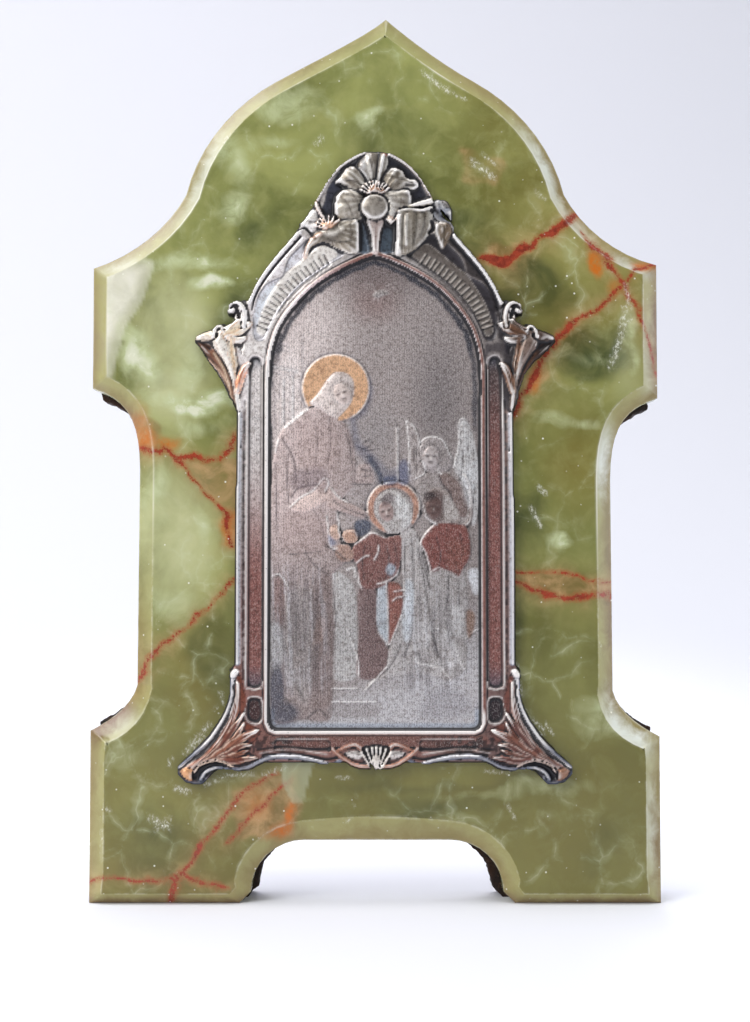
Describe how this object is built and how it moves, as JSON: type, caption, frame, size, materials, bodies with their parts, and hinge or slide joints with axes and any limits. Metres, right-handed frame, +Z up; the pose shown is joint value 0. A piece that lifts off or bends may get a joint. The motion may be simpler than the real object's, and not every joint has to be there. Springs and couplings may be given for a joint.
{
  "type": "standing devotional plaque",
  "caption": "Standing devotional plaque of bevelled green onyx with an ogee top and two feet, carrying a stamped silvered communion relief in a lily-crowned frame, on a dark backing board.",
  "frame": {"origin": "centre of the bounding box's footprint, on the plane the two feet stand on", "axes": "+Z up to the apex, +X to the right of a viewer who faces the relief, the relief faces -Y and the back of the board faces +Y"},
  "size_m": [0.1278, 0.0212, 0.2],
  "materials": {
    "backing": "dark brown leathercloth glued over a thin board, its cut edges ragged and dusty",
    "onyx": null,
    "silver_plate": "silver plate over stamped copper, dark in the hollows, the copper showing pink-brown where it is rubbed"
  },
  "bodies": {
    "root": {"backing_board": "backing", "onyx_slab": "onyx", "silvered_relief": "silver_plate"}
  },
  "joints": []
}
